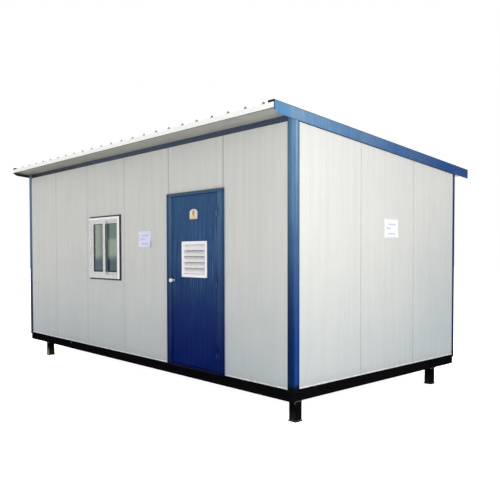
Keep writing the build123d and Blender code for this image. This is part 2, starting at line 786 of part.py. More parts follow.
lining = WINDOW_FACE - WINDOW_LAP
window_frame = ring(win_x0, win_x1, window_z0, window_z1, WINDOW_FACE, WINDOW_FACE, win_y0, y_front)
window_frame += ring(
    win_x0 + WINDOW_LAP,
    win_x1 - WINDOW_LAP,
    window_z0 + WINDOW_LAP,
    window_z1 - WINDOW_LAP,
    lining,
    lining,
    y_front,
    win_y1,
)
for z0, z1 in ((in_z0, in_z0 + TRACK_RIB_HEIGHT), (in_z1 - TRACK_RIB_HEIGHT, in_z1)):
    window_frame += block(in_x0, in_x1, outer_sash_y1, inner_sash_y0, z0, z1)
save("window_frame", window_frame)

sash_width = (in_x1 - in_x0 + SASH_STILE) / 2
sashes = {
    "window_left_sash": (in_x0, outer_sash_y0),
    "window_right_sash": (in_x1 - sash_width, inner_sash_y0),
}
panes = []
for node, (x0, y0) in sashes.items():
    save(node, ring(x0, x0 + sash_width, in_z0, in_z1, SASH_STILE, SASH_RAIL, y0, y0 + SASH_T))
    pane_y = y0 + (SASH_T - GLASS_T) / 2
    panes.append(
        block(
            x0 + SASH_STILE,
            x0 + sash_width - SASH_STILE,
            pane_y,
            pane_y + GLASS_T,
            in_z0 + SASH_RAIL,
            in_z1 - SASH_RAIL,
        )
    )
save("window_glass", *panes)
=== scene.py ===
import json
import math
import random

import bmesh
import bpy
from mathutils import Matrix, Vector


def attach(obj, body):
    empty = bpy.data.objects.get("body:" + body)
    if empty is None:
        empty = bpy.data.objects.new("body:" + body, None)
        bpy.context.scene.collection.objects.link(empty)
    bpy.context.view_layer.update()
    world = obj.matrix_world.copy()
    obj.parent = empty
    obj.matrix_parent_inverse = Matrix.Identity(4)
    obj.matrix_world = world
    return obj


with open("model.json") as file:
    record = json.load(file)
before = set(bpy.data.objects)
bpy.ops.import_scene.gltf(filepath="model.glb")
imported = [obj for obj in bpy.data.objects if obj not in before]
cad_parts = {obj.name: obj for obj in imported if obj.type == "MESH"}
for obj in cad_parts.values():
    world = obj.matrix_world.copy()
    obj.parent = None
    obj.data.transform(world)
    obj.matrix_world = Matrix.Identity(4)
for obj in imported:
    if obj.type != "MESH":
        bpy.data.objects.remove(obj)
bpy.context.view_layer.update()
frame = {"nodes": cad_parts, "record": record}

nodes = frame["nodes"]

# ---------------------------------------------------------------- sizes
# In metres, as in part.py
END_X = 3.0
FRONT_Y, BACK_Y = -1.525, 1.475
SLOPE = 0.25 / 3.0
ROOF_FRONT_Z = 2.9
RIB_PITCH, RIB_COUNT = 0.25, 24
PANEL_JOINTS_X, PANEL_JOINTS_Y = (-2.0, -1.0, 0.0, 1.0, 2.0), (-0.475, 0.525)
DOOR_X, DOOR_HEAD_Z = 1.512, 2.300
WINDOW_X0, WINDOW_X1, WINDOW_Z0, WINDOW_Z1 = -0.905, -0.095, 1.276, 2.098
WINDOW_Y = -1.545
GLASS_Z0, GLASS_Z1 = 1.360, 2.014
# Each pane's left, right, front and back
PANES = ((-0.793, -0.531, -1.5325, -1.5275), (-0.469, -0.207, -1.5075, -1.5025))
KNOB_TIP = (1.128, -1.6025, 1.300)
VENT_X, VENT_Z, VENT_WIDTH, VENT_HEIGHT = 1.501, 1.543, 0.460, 0.402
LEGS = ((2.940, -1.415), (2.940, 0.995), (-2.380, -1.465), (-2.380, 1.415))
LEG_HALF = 0.0425
BASE_X, BASE_Y0, BASE_Y1 = 2.985, -1.510, 1.460

# Sheets of paper: lower left corner and size, along the wall and up
FRONT_SHEET = (0.356, 1.688), (0.268, 0.198)
GABLE_SHEET = (-0.058, 1.786), (0.262, 0.200)
PLATE_X, PLATE_Z, PLATE_WIDTH, PLATE_HEIGHT, PLATE_Y = 1.491, 2.047, 0.140, 0.112, -1.530

TO_FRONT, TO_BACK, TO_RIGHT, TO_LEFT, UP = (0, -1, 0), (0, 1, 0), (1, 0, 0), (-1, 0, 0), (0, 0, 1)
OFF_ROOF = (0.0, SLOPE, 1.0)


def roof_z(y):
    """Underside of the roof at depth y."""
    return ROOF_FRONT_Z - SLOPE * (y - FRONT_Y)


# ---------------------------------------------------------------- camera
# Fitted to the photograph: focal length and centre in its pixels, angles in degrees
PHOTO_SIZE, SENSOR = 500.0, 36.0
FOCAL, CENTRE_X, CENTRE_Y = 599.6, 263.22, 270.74
YAW, PITCH, ROLL = -46.441, -1.618, 0.0495
EYE = (6.870, -5.576, 1.604)

camera_data = bpy.data.cameras.new("camera")
camera_data.sensor_width = SENSOR
camera_data.lens = FOCAL / PHOTO_SIZE * SENSOR
camera_data.shift_x = -(CENTRE_X - PHOTO_SIZE / 2) / PHOTO_SIZE
camera_data.shift_y = (CENTRE_Y - PHOTO_SIZE / 2) / PHOTO_SIZE
camera = bpy.data.objects.new("camera", camera_data)
bpy.context.scene.collection.objects.link(camera)
bpy.context.scene.camera = camera
yaw, pitch, roll = (math.radians(angle) for angle in (YAW, PITCH, ROLL))
forward = Vector((math.sin(yaw) * math.cos(pitch), math.cos(yaw) * math.cos(pitch), math.sin(pitch)))
level = Vector((math.cos(yaw), -math.sin(yaw), 0.0))
right = level * math.cos(roll) - level.cross(forward) * math.sin(roll)
up = right.cross(forward)
axes = Matrix((right, up, -forward)).transposed().to_4x4()
camera.matrix_world = Matrix.Translation(EYE) @ axes


# ---------------------------------------------------------------- materials
def srgb(r, g, b):
    """A colour written as 0..255 sRGB, in linear light."""
    out = []
    for c in (r, g, b):
        c /= 255.0
        out.append(c / 12.92 if c <= 0.04045 else ((c + 0.055) / 1.055) ** 2.4)
    return (*out, 1.0)


def scaled(colour, *factors):
    """A linear colour times one factor, or times one for each channel."""
    factors = factors if len(factors) == 3 else factors * 3
    return (*(f * c for f, c in zip(factors, colour)), 1.0)


BLACK = srgb(6, 8, 14)
# Heights over which the door and its frame are painted paler upward, as painted light
DOOR_PAINTED_PALENESS = (0.6, 2.6)


class Paint:
    """A node material: layers of procedural colour on a Principled shader."""

    def __init__(self, name, roughness=0.5, metallic=0.0, **inputs):
        self.material = bpy.data.materials.new(name)
        self.material.use_nodes = True
        self.tree = self.material.node_tree
        self.shader = self.tree.nodes["Principled BSDF"]
        self.set("Roughness", roughness)
        self.set("Metallic", metallic)
        for key, value in inputs.items():
            self.set(key.replace("_", " "), value)
        # Coordinates of the object in metres
        self.position = self.add("ShaderNodeTexCoord").outputs["Object"]
        self.x, self.y, self.z = self.split(self.position)
        self.colour = None

    def add(self, kind, **settings):
        node = self.tree.nodes.new(kind)
        for key, value in settings.items():
            setattr(node, key, value)
        return node

    def put(self, value, target):
        """Set a socket, or link it when value comes from a node."""
        if isinstance(value, bpy.types.NodeSocket):
            self.tree.links.new(value, target)
        else:
            target.default_value = value

    def set(self, socket, value):
        self.put(value, self.shader.inputs[socket])

    def split(self, vector):
        node = self.add("ShaderNodeSeparateXYZ")
        self.put(vector, node.inputs[0])
        return node.outputs

    def normal(self, axis):
        """How far the surface faces along X, Y or Z, from -1 to 1."""
        return self.split(self.add("ShaderNodeNewGeometry").outputs["Normal"])[axis]

    def math(self, operation, *values):
        node = self.add("ShaderNodeMath", operation=operation)
        for value, target in zip(values, node.inputs):
            self.put(value, target)
        return node.outputs[0]

    def times(self, product, *others):
        for other in others:
            product = self.math("MULTIPLY", product, other)
        return product

    def largest(self, largest, *others):
        for other in others:
            largest = self.math("MAXIMUM", largest, other)
        return largest

    def apart(self, a, b):
        """How far a is from b."""
        return self.math("ABSOLUTE", self.math("SUBTRACT", a, b))

    def stretched(self, x, y, z):
        node = self.add("ShaderNodeMapping")
        self.put(self.position, node.inputs["Vector"])
        self.put((x, y, z), node.inputs["Scale"])
        return node.outputs[0]

    def noise(self, scale, detail=3.0, rough=0.5, where=None, distort=0.0):
        node = self.add("ShaderNodeTexNoise")
        self.put(where or self.position, node.inputs["Vector"])
        for key, value in (("Scale", scale), ("Detail", detail), ("Roughness", rough), ("Distortion", distort)):
            self.put(value, node.inputs[key])
        return node.outputs["Fac"]

    def cells(self, scale, where=None):
        """Distance from the nearest of many scattered points."""
        node = self.add("ShaderNodeTexVoronoi")
        self.put(where or self.position, node.inputs["Vector"])
        self.put(scale, node.inputs["Scale"])
        return node.outputs["Distance"]

    def ragged(self, value, reach, *noise):
        """A value moved by noise of the given reach, so that limits on it come out uneven."""
        return self.math("ADD", value, self.times(self.noise(*noise), reach))

    def span(self, value, low, high, to_low=0.0, to_high=1.0, smooth=True):
        """Value brought from low..high to to_low..to_high, and held there."""
        node = self.add("ShaderNodeMapRange")
        node.interpolation_type = "SMOOTHSTEP" if smooth else "LINEAR"
        node.clamp = True
        limits = {"Value": value, "From Min": low, "From Max": high, "To Min": to_low, "To Max": to_high}
        for key, limit in limits.items():
            self.put(limit, node.inputs[key])
        return node.outputs[0]

    def mix(self, factor, a, b):
        node = self.add("ShaderNodeMix", data_type="RGBA", blend_type="MIX")
        for value, socket in ((factor, 0), (a, 6), (b, 7)):
            self.put(value, node.inputs[socket])
        return node.outputs[2]

    def layer(self, factor, colour):
        """Lay a colour over the ones so far, as thickly as factor says."""
        self.colour = self.mix(factor, self.colour, colour)

    def finished(self, height=None, strength=0.0, depth=0.0, roughness=None):
        """Connect the colour, an uneven roughness and a fine bump, and hand over the material."""
        self.set("Base Color", self.colour)
        if roughness is not None:
            self.set("Roughness", roughness)
        if height is not None:
            node = self.add("ShaderNodeBump")
            for key, value in (("Strength", strength), ("Distance", depth), ("Height", height)):
                self.put(value, node.inputs[key])
            self.set("Normal", node.outputs[0])
        return self.material


def wall_paint():
    """Off-white coated sheet: faint vertical streaks, mottling, and painted shade that deepens toward the
    ground.
    """
    p = Paint("wall_panel")
    p.colour = p.mix(p.noise(0.9, 2), srgb(205, 205, 200), srgb(211, 211, 207))
    streaks = p.noise(5.0, 4, 0.6, p.stretched(2.6, 2.6, 0.16))
    p.layer(p.span(streaks, 0.35, 0.75, 0.0, 0.35), srgb(189, 191, 187))
    # Painted shade, darker and bluer toward the ground, reaching higher toward the back of the gables and
    # lighter on them
    height = p.ragged(p.z, 0.6, 1.6, 3, 0.6)
    height = p.math("SUBTRACT", height, p.times(p.largest(p.y, -0.2), 0.45))
    on_gable = p.span(p.math("ABSOLUTE", p.x), 2.90, 2.95, 1.0, 0.78)
    p.layer(p.times(p.span(height, 0.1, 2.4, 0.9, 0.0), on_gable), srgb(162, 174, 179))
    # Dirt in the panel joints, most of it beside the door
    for along, shift, across, edge, most in ((p.x, 0.5, p.y, 1.42, 0.44), (p.y, 0.975, p.x, 2.90, 0.14)):
        joint = p.apart(p.math("FRACT", p.math("ADD", along, 10.0 + shift)), 0.5)
        on_wall = p.span(p.math("ABSOLUTE", across), edge, edge + 0.02)
        by_door = p.span(p.x, 0.0, 1.0, 0.4 * most, most)
        p.layer(p.times(p.span(joint, 0.003, 0.016, 1.0, 0.0), by_door, on_wall), srgb(112, 110, 104))
    splash = p.span(p.ragged(p.z, 0.12, 9, 5, 0.7), 0.34, 0.50, 0.35, 0.0)
    p.layer(splash, srgb(150, 150, 140))
    specks = p.span(p.cells(26, p.stretched(1, 1, 0.7)), 0.02, 0.07, 0.35, 0.0)
    p.layer(p.times(specks, p.span(p.noise(1.7, 2), 0.56, 0.66)), srgb(140, 138, 128))
    # Pale, broken line of filler and dust where the sheets meet the base
    foot = p.span(p.ragged(p.z, 0.016, 24, 4, 0.7), 0.336, 0.346, 0.8, 0.0)
    p.layer(p.times(foot, p.span(p.noise(13, 3, 0.7), 0.38, 0.62, 0.25, 1.0)), srgb(236, 235, 240))
    return p.finished(p.noise(220, 2), 0.05, 0.0006, p.span(p.noise(3, 4), 0.3, 0.7, 0.36, 0.52))


def roof_paint():
    """Off-white sheet of the roof: chalky above, its cut ends and rib sides painted near white as a painted
    highlight, grey-green with dust below and painted shade toward the far end.
    """
    p = Paint("roof_panel")
    upward = p.span(p.normal("Z"), 0.60, 0.97)
    downward = p.span(p.normal("Z"), -0.6, -0.9)
    chalk = p.mix(p.noise(1.3, 4, 0.6), srgb(206, 208, 205), srgb(192, 195, 192))
    # Painted highlight: faces that do not look up, the cut ends and rib sides, are painted near white
    p.colour = p.mix(upward, srgb(253, 253, 251), chalk)
    streaks = p.noise(6.0, 4, 0.6, p.stretched(3.0, 0.2, 1.0))
    p.layer(p.times(p.span(streaks, 0.45, 0.8, 0.0, 0.5), upward), srgb(158, 157, 148))
    # Underside, with painted shade that darkens it toward the far end and nearly to black at the left end
    under = p.mix(p.span(p.ragged(p.x, 1.2, 1.1, 3), -2.6, 3.4), srgb(141, 142, 128), srgb(168, 169, 161))
    under = p.mix(p.span(p.x, -3.0, -2.4, 0.75, 0.0), under, srgb(62, 64, 54))
    grime = p.span(p.noise(5, 5, 0.65, p.stretched(0.5, 2.0, 1.0)), 0.45, 0.8, 0.0, 0.45)
    under = p.mix(grime, under, srgb(115, 117, 104))
    p.layer(downward, under)
    p.layer(p.times(p.span(p.y, -1.735, -1.765, 0.0, 0.4), downward), srgb(84, 84, 78))
    return p.finished(p.noise(160, 2), 0.05, 0.0008, p.span(p.noise(4, 3), 0.3, 0.7, 0.42, 0.6))


def painted_paleness(p, heights):
    """How much paler the blue paint is painted, from 0 low down to 1 at the top: painted light, paler high up.
    """
    return p.span(p.ragged(p.z, 0.5, 3.0, 3, 0.6), *heights)


def verge_chalk(p):
    """Chalky patches, fresher paint at the front end and a dull line along the top."""
    p.layer(p.span(p.noise(2.4, 4, 0.6), 0.45, 0.62, 0.0, 0.35), srgb(128, 150, 174))
    p.layer(p.span(p.y, -1.64, -1.50, 0.6, 0.0), srgb(68, 122, 168))
    above = p.math("ADD", p.z, p.times(p.math("SUBTRACT", p.y, FRONT_Y), SLOPE))
    p.layer(p.span(above, 2.960, 2.966, 0.0, 0.45), srgb(70, 74, 84))


def verge_marks(p):
    """Grey-green back coat on the back of the sheet, painted dark as painted shade, and the last centimetre of
    the front end painted dark.
    """
    # Back of the sheet: its grey-green back coat, painted dark as painted shade
    p.layer(p.span(p.times(p.normal("X"), p.x), -1.0, -1.6), srgb(58, 60, 50))
    p.layer(p.span(p.y, -1.760, -1.768, 0.0, 0.85), srgb(22, 30, 44))


def track_marks(p):
    """Painted shade, darker toward the far end of the eave."""
    p.layer(p.span(p.x, -3.0, 0.0, 0.75, 0.0), BLACK)


def leaf_marks(p):
    """Paler streaks that rain has drawn beside and below the vent."""
    run = p.span(p.noise(20.0, 4, 0.65, p.stretched(3.0, 3.0, 0.10)), 0.50, 0.66, 0.0, 0.42)
    zone = p.times(p.span(p.z, 0.95, 1.35), p.span(p.z, 1.75, 2.10, 1.0, 0.25))
    p.layer(p.times(run, zone), srgb(88, 124, 166))


def frame_marks(p):
    """Painted highlight on the step beside the leaf, a dusty top edge, a shaded head and a black foot."""
    # Painted highlight: the rounded step beside the leaf painted paler
    step = p.span(p.apart(p.x, DOOR_X), 0.482, 0.480, 0.0, 0.42)
    p.layer(step, p.mix(painted_paleness(p, DOOR_PAINTED_PALENESS), srgb(12, 34, 92), srgb(102, 130, 154)))
    p.layer(p.span(p.z, DOOR_HEAD_Z - 0.016, DOOR_HEAD_Z - 0.012, 0.0, 0.7), srgb(102, 122, 124))
    p.layer(p.span(p.z, DOOR_HEAD_Z - 0.060, DOOR_HEAD_Z - 0.030, 0.0, 0.3), srgb(20, 40, 74))
    p.layer(p.span(p.z, 0.322, 0.350, 0.85, 0.0), BLACK)


def corner_marks(p):
    """Painted shade along the lips and a painted highlight down the arris of the near corner trim, painted
    shade low on its front lip and fold with painted light in the middle of its side, darker lower parts of the
    left trims, and dark feet.
    """
    front = p.span(p.y, -1.30, -1.20, 1.0, 0.0)
    near = p.span(p.x, 2.8, 2.9)
    lips = p.largest(p.span(p.x, 2.946, 2.958, 1.0, 0.0), p.span(p.y, -1.442, -1.428))
    # Painted shade along the lips
    p.layer(p.times(lips, front, near, 0.45), srgb(10, 22, 52))
    # Painted highlight down the rounded arris
    arris = p.span(p.apart(p.y, -1.462), 0.006, 0.020, 1.0, 0.0)
    arris = p.times(arris, front, p.span(p.z, 2.0, 2.8, 0.08, 0.40))
    p.layer(arris, p.mix(p.span(p.z, 0.5, 2.9), srgb(24, 62, 152), srgb(158, 184, 204)))
    # Painted shade low down on the front lip and the fold, and painted light in the middle of the side
    low = p.span(p.z, 0.9, 2.3, 1.0, 0.0)
    folded = p.largest(p.span(p.normal("Y"), -0.9, -0.4, 1.0, 0.0), p.span(p.y, -1.506, -1.494, 1.0, 0.0))
    p.layer(p.times(folded, front, near, low, 0.6), srgb(6, 24, 56))
    middle = p.span(p.apart(p.y, -1.466), 0.014, 0.030, 1.0, 0.0)
    p.layer(p.times(middle, front, low, 0.5), srgb(22, 78, 150))
    p.layer(p.times(p.span(p.x, -2.8, -2.9), p.span(p.z, 0.5, 1.7, 0.75, 0.0)), srgb(18, 22, 56))
    p.layer(p.span(p.z, 0.320, 0.385, 1.0, 0.0), srgb(2, 3, 6))


def blue_paint(name, pale_colour, deep, heights, marks, roughness, grime, specular, shaded=0.0, chalk=None):
    """Semi-gloss blue coating, painted paler toward the top as painted light.

    heights are where the painted paleness starts and ends. shaded darkens the paint toward the back. chalk and
    marks add what one part has of its own, below the shade and the dust or over them.
    """
    p = Paint(name, Specular_IOR_Level=specular)
    # Painted light: paler toward the top, deeper blue low down
    paleness_here = painted_paleness(p, heights)
    p.colour = p.mix(paleness_here, deep, pale_colour)
    streaks = p.noise(9.0, 4, 0.65, p.stretched(3.0, 3.0, 0.2))
    p.layer(p.times(p.span(streaks, 0.5, 0.8, 0.0, grime), paleness_here), scaled(pale_colour, 1.7))
    fine = p.noise(26.0, 4, 0.6, p.stretched(3.0, 3.0, 0.12))
    p.layer(p.span(fine, 0.35, 0.65, 0.0, 0.22), scaled(deep, 0.45))
    if chalk:
        chalk(p)
    if shaded:
        p.layer(p.span(p.y, -1.6, 1.35, 0.0, shaded, smooth=False), scaled(deep, 0.3, 0.65, 0.75))
    p.layer(p.span(p.ragged(p.z, 0.1, 12, 5, 0.7), 0.31, 0.42, 0.3, 0.0), srgb(28, 33, 48))
    marks(p)
    gloss = p.span(p.noise(7, 4, 0.6), 0.3, 0.75, roughness - 0.06, roughness + 0.16)
    return p.finished(p.noise(260, 2), 0.06, 0.0006, gloss)


def base_paint():
    """Black primer on rolled steel, with dust on its ledges, mud near the ground and rust at edges."""
    p = Paint("base_steel", Specular_IOR_Level=0.0)
    p.colour = p.mix(p.noise(6, 4, 0.6), srgb(8, 8, 10), srgb(17, 17, 20))
    ledge = p.span(p.normal("Z"), 0.6, 0.95, 0.0, 0.6)
    p.layer(p.times(ledge, p.noise(9, 4)), srgb(80, 76, 66))
    rust = p.span(p.noise(14, 6, 0.7), 0.63, 0.72, 0.0, 0.75)
    p.layer(p.times(rust, p.span(p.noise(2.3, 2), 0.52, 0.64)), srgb(82, 46, 26))
    # Mud, most of it on the left legs and on the sides that face the front
    mud = p.span(p.ragged(p.z, 0.06, 18, 5, 0.7), 0.05, 0.17, 0.8, 0.0)
    mud = p.times(mud, p.span(p.x, -2.3, 2.5, 1.0, 0.04), p.span(p.normal("Y"), -0.7, -0.3, 1.0, 0.12))
    p.layer(mud, srgb(172, 160, 122))
    # Chips along the top edge, and a few others
    edge = p.span(p.ragged(p.z, 0.02, 30, 4, 0.7), 0.312, 0.326, 0.0, 0.8)
    chips = p.times(edge, p.span(p.noise(22, 4, 0.7), 0.56, 0.64))
    few = p.span(p.cells(6), 0.05, 0.09, 0.8, 0.0)
    p.layer(p.largest(chips, p.times(few, 0.7)), srgb(158, 150, 146))
    return p.finished(p.noise(70, 5, 0.6), 0.15, 0.002, p.span(p.noise(10, 4, 0.6), 0.3, 0.7, 0.4, 0.75))


def metal_paint(name, light, dark, roughness, metallic=1.0):
    """Plain steel with fine brushing and a little staining."""
    p = Paint(name, metallic=metallic)
    p.colour = p.mix(p.noise(40.0, 4, 0.6, p.stretched(1, 1, 6)), dark, light)
    p.layer(p.span(p.noise(25, 4), 0.55, 0.75, 0.0, 0.5), dark)
    gloss = p.span(p.noise(60, 3), 0.3, 0.7, roughness * 0.75, roughness * 1.4)
    return p.finished(p.noise(400, 2), 0.05, 0.0003, gloss)


def white_paint(name, light, dark, roughness, grime, painted_light=None):
    """White plastic or coated metal with dust in it; chalked(p) says where it is painted near white as painted
    light.
    """
    p = Paint(name)
    p.colour = p.mix(p.noise(4, 3), light, dark)
    dirt = p.span(p.noise(14, 5, 0.7, p.stretched(1.6, 1.6, 0.5)), 0.5, 0.8, 0.0, grime)
    p.layer(dirt, srgb(150, 148, 138))
    ledge = p.span(p.normal("Z"), 0.4, 0.95, 0.0, 0.5)
    p.layer(p.times(ledge, p.noise(30, 3)), srgb(120, 115, 102))
    if painted_light:
        # Painted light: near white where the given mask says
        p.layer(painted_light(p), srgb(252, 252, 250))
    gloss = p.span(p.noise(20, 3), 0.3, 0.7, roughness * 0.8, roughness * 1.5)
    return p.finished(p.noise(300, 2), 0.04, 0.0005, gloss)


def window_lit_sides(p):
    """Painted light: the head and the right jamb of the window, painted whiter where more light falls."""
    return p.largest(p.span(p.z, 2.070, 2.080), p.span(p.x, -0.140, -0.130))


def rubber_paint(name, colour, roughness):
    """Dull rubber, sealant or weld metal with dust in it."""
    p = Paint(name, roughness=roughness)
    p.colour = p.mix(p.noise(30, 4), colour, scaled(colour, 0.55))
    p.layer(p.span(p.noise(9, 4), 0.5, 0.8, 0.0, 0.4), srgb(110, 108, 104))
    return p.finished(p.noise(180, 3), 0.1, 0.0008)


def hinge_paint():
    """Hinge steel painted over with the door, worn to the metal here and there."""
    p = Paint("hinge_steel", roughness=0.4, Specular_IOR_Level=0.2)
    # Painted light: paler higher up and deeper blue low down, as on the door
    p.colour = p.mix(p.span(p.z, 0.4, 2.2), srgb(6, 24, 92), srgb(62, 92, 134))
    worn = p.span(p.noise(60, 5, 0.7), 0.60, 0.70, 0.0, 0.8)
    p.layer(worn, srgb(118, 120, 124))
    p.layer(p.span(p.noise(90, 4, 0.7), 0.62, 0.72, 0.0, 0.7), srgb(92, 58, 38))
    p.set("Metallic", p.times(worn, 0.7))
    return p.finished(p.noise(150, 3), 0.1, 0.0006)


def paper_paint(name, corner, size, along, clean, ink):
    """Weathered office paper with three plain ruled bars, and no words."""
    p = Paint(name, roughness=0.85)
    wall = p.x if along == "X" else p.y
    u = p.math("DIVIDE", p.math("SUBTRACT", wall, corner[0]), size[0])
    v = p.math("DIVIDE", p.math("SUBTRACT", p.z, corner[1]), size[1])
    # Middle and half size of each bar, as shares of the sheet
    soft = 0.03
    bars = [
        p.times(
            p.span(p.apart(u, middle_u), half_u, half_u + soft, 1.0, 0.0),
            p.span(p.apart(v, middle_v), half_v, half_v + soft, 1.0, 0.0),
        )
        for middle_u, middle_v, half_u, half_v in (
            (0.55, 0.72, 0.26, 0.03),
            (0.32, 0.50, 0.14, 0.035),
            (0.52, 0.20, 0.24, 0.03),
        )
    ]
    p.colour = p.mix(p.noise(9, 4, 0.6), clean, scaled(clean, 0.93))
    p.layer(p.times(p.largest(*bars), 0.65), ink)
    p.layer(p.span(p.noise(16, 5, 0.7), 0.6, 0.8, 0.0, 0.3), srgb(205, 200, 180))
    return p.finished(p.noise(500, 3), 0.08, 0.0003)


def plate_paint():
    """Cream enamel plate with a plain orange oval over a yellow foot."""
    p = Paint("door_plate")
    across = p.math("SUBTRACT", p.x, PLATE_X)
    upwards = p.math("SUBTRACT", p.z, PLATE_Z + 0.013)
    far = [
        p.math("POWER", p.math("DIVIDE", offset, radius), 2.0)
        for offset, radius in ((across, 0.026), (upwards, 0.036))
    ]
    oval = p.span(p.math("ADD", *far), 0.75, 1.1, 0.9, 0.0)
    p.colour = p.mix(p.noise(30, 4), srgb(236, 232, 214), srgb(216, 208, 180))
    foot = p.span(p.z, 2.020, 2.028, 0.8, 0.0)
    inside = p.span(p.math("ABSOLUTE", across), 0.045, 0.050, 1.0, 0.0)
    p.layer(p.times(foot, inside), srgb(226, 196, 104))
    p.layer(oval, p.mix(p.noise(60, 4), srgb(196, 104, 72), srgb(214, 142, 92)))
    p.layer(p.span(p.noise(70, 5, 0.7), 0.63, 0.70, 0.0, 0.7), srgb(120, 112, 96))
    return p.finished(p.noise(200, 3), 0.06, 0.0003, p.span(p.noise(40, 3), 0.3, 0.7, 0.22, 0.5))


def glass_paint():
    """Slightly green float glass with a film of dust, with a painted reflection of the ground and painted views
    of the inside and the shaded frame.
    """
    p = Paint("glass", IOR=1.5)
    right_pane = p.span(p.x, -0.50, -0.47)
    left_pane = p.math("SUBTRACT", 1.0, right_pane)
    p.colour = p.mix(p.noise(3, 3), srgb(186, 206, 186), srgb(168, 190, 172))
    # Painted reflection and painted views of the inside: a dark head in the right pane, a pale head and an
    # olive half in the left one, and the ground mirrored low in both
    p.layer(p.times(right_pane, p.span(p.ragged(p.z, 0.06, 4, 2), 1.81, 1.86)), srgb(112, 152, 136))
    p.layer(p.times(left_pane, p.span(p.z, 1.95, 1.99, 0.0, 0.6)), srgb(196, 194, 172))
    p.layer(p.times(p.span(p.x, -0.66, -0.60, 0.0, 0.5), left_pane), srgb(112, 126, 104))
    p.layer(p.span(p.ragged(p.z, 0.10, 5, 3), 1.54, 1.66, 1.0, 0.0), srgb(20, 80, 100))
    # Painted shade: the shaded side of the frame, seen through the left pane, painted dark on it
    p.layer(p.span(p.x, -0.756, -0.746, 0.92, 0.0), srgb(16, 24, 20))
    p.set("Transmission Weight", p.span(p.z, 1.42, 1.56, 0.35, 0.5))
    film = p.noise(7, 5, 0.7, p.stretched(1.5, 1.5, 0.6))
    return p.finished(roughness=p.span(film, 0.35, 0.8, 0.02, 0.18))


def deck_paint():
    """Film-faced plywood deck, brown, with grain along the boards."""
    p = Paint("deck_board")
    grain = p.noise(10, 6, 0.7, p.stretched(0.4, 6.0, 6.0), 0.6)
    p.colour = p.mix(grain, srgb(126, 100, 76), srgb(158, 130, 100))
    p.layer(p.span(p.noise(2.4, 4), 0.45, 0.75, 0.0, 0.5), srgb(112, 100, 88))
    return p.finished(grain, 0.15, 0.001, p.span(grain, 0.3, 0.7, 0.5, 0.75))


TRIM = blue_paint(
    "blue_trim", srgb(92, 128, 156), srgb(0, 40, 104), (0.6, 3.1), corner_marks,
    roughness=0.3, grime=0.2, specular=0.03, shaded=0.85,
)
VERGE = blue_paint(
    "verge_blue", srgb(104, 141, 172), srgb(44, 82, 140), (2.4, 3.3), verge_marks,
    roughness=0.35, grime=0.3, specular=0.05, shaded=0.95, chalk=verge_chalk,
)
# Head tracks: navy, and darker than the trims as painted shade under the eave
TRACK = blue_paint(
    "track_navy", srgb(64, 76, 98), srgb(48, 60, 84), (0.3, 3.1), track_marks,
    roughness=0.35, grime=0.3, specular=0.2,
)
DOOR = blue_paint(
    "door_paint", srgb(56, 90, 128), srgb(0, 24, 92), DOOR_PAINTED_PALENESS, leaf_marks,
    roughness=0.36, grime=0.45, specular=0.02,
)
FRAME = blue_paint(
    "door_frame_paint", srgb(54, 86, 124), srgb(0, 20, 82), DOOR_PAINTED_PALENESS, frame_marks,
    roughness=0.36, grime=0.2, specular=0.02,
)
BASE = base_paint()
STEEL = metal_paint("zinc_steel", srgb(176, 178, 182), srgb(120, 120, 124), 0.4)
HINGE = hinge_paint()
SATIN = metal_paint("knob_steel", srgb(244, 244, 246), srgb(222, 222, 226), 0.35, metallic=0.45)
VENT = white_paint("vent_white", srgb(250, 249, 250), srgb(244, 242, 245), 0.4, 0.18)
WINDOW = white_paint("window_white", srgb(222, 223, 223), srgb(206, 208, 208), 0.25, 0.3, window_lit_sides)
RUBBER = rubber_paint("gasket", srgb(58, 54, 62), 0.75)
PILE = rubber_paint("pile", srgb(30, 36, 34), 0.95)
JOINT = rubber_paint("joint_sealant", srgb(120, 118, 112), 0.9)
WELD = rubber_paint("weld", srgb(64, 62, 64), 0.6)
SEALANT = white_paint("silicone", srgb(236, 236, 238), srgb(222, 222, 224), 0.45, 0.5)
TAPE = white_paint("tape", srgb(236, 236, 232), srgb(226, 226, 220), 0.15, 0.2)
PAPER_FRONT = paper_paint("front_paper", *FRONT_SHEET, "X", srgb(226, 230, 250), srgb(168, 178, 226))
PAPER_GABLE = paper_paint("gable_paper", *GABLE_SHEET, "Y", srgb(238, 240, 250), srgb(168, 170, 180))
PLATE = plate_paint()

PAINTS = {
    "wall_panel": wall_paint(),
    "roof_panel": roof_paint(),
    "blue_trim": TRIM,
    "track_navy": TRACK,
    "base_steel": BASE,
    "deck_board": deck_paint(),
    "door_paint": DOOR,
    "hinge_steel": HINGE,
    "vent_white": VENT,
    "knob_steel": SATIN,
    "window_white": WINDOW,
    "glass": glass_paint(),
}
for part in frame["record"]["subparts"]:
    node = nodes[part["node"]]
    node.data.materials.clear()
    node.data.materials.append(PAINTS[part["material_slot"]])
for name, paint in (("right_verge_trim", VERGE), ("left_verge_trim", VERGE), ("door_frame", FRAME)):
    nodes[name].data.materials[0] = paint


# ---------------------------------------------------------------- small solids
def row(low, high, step):
    """Evenly spaced values from low to high, about step apart."""
    count = max(1, round((high - low) / step))
    return [low + (high - low) * k / count for k in range(count + 1)]


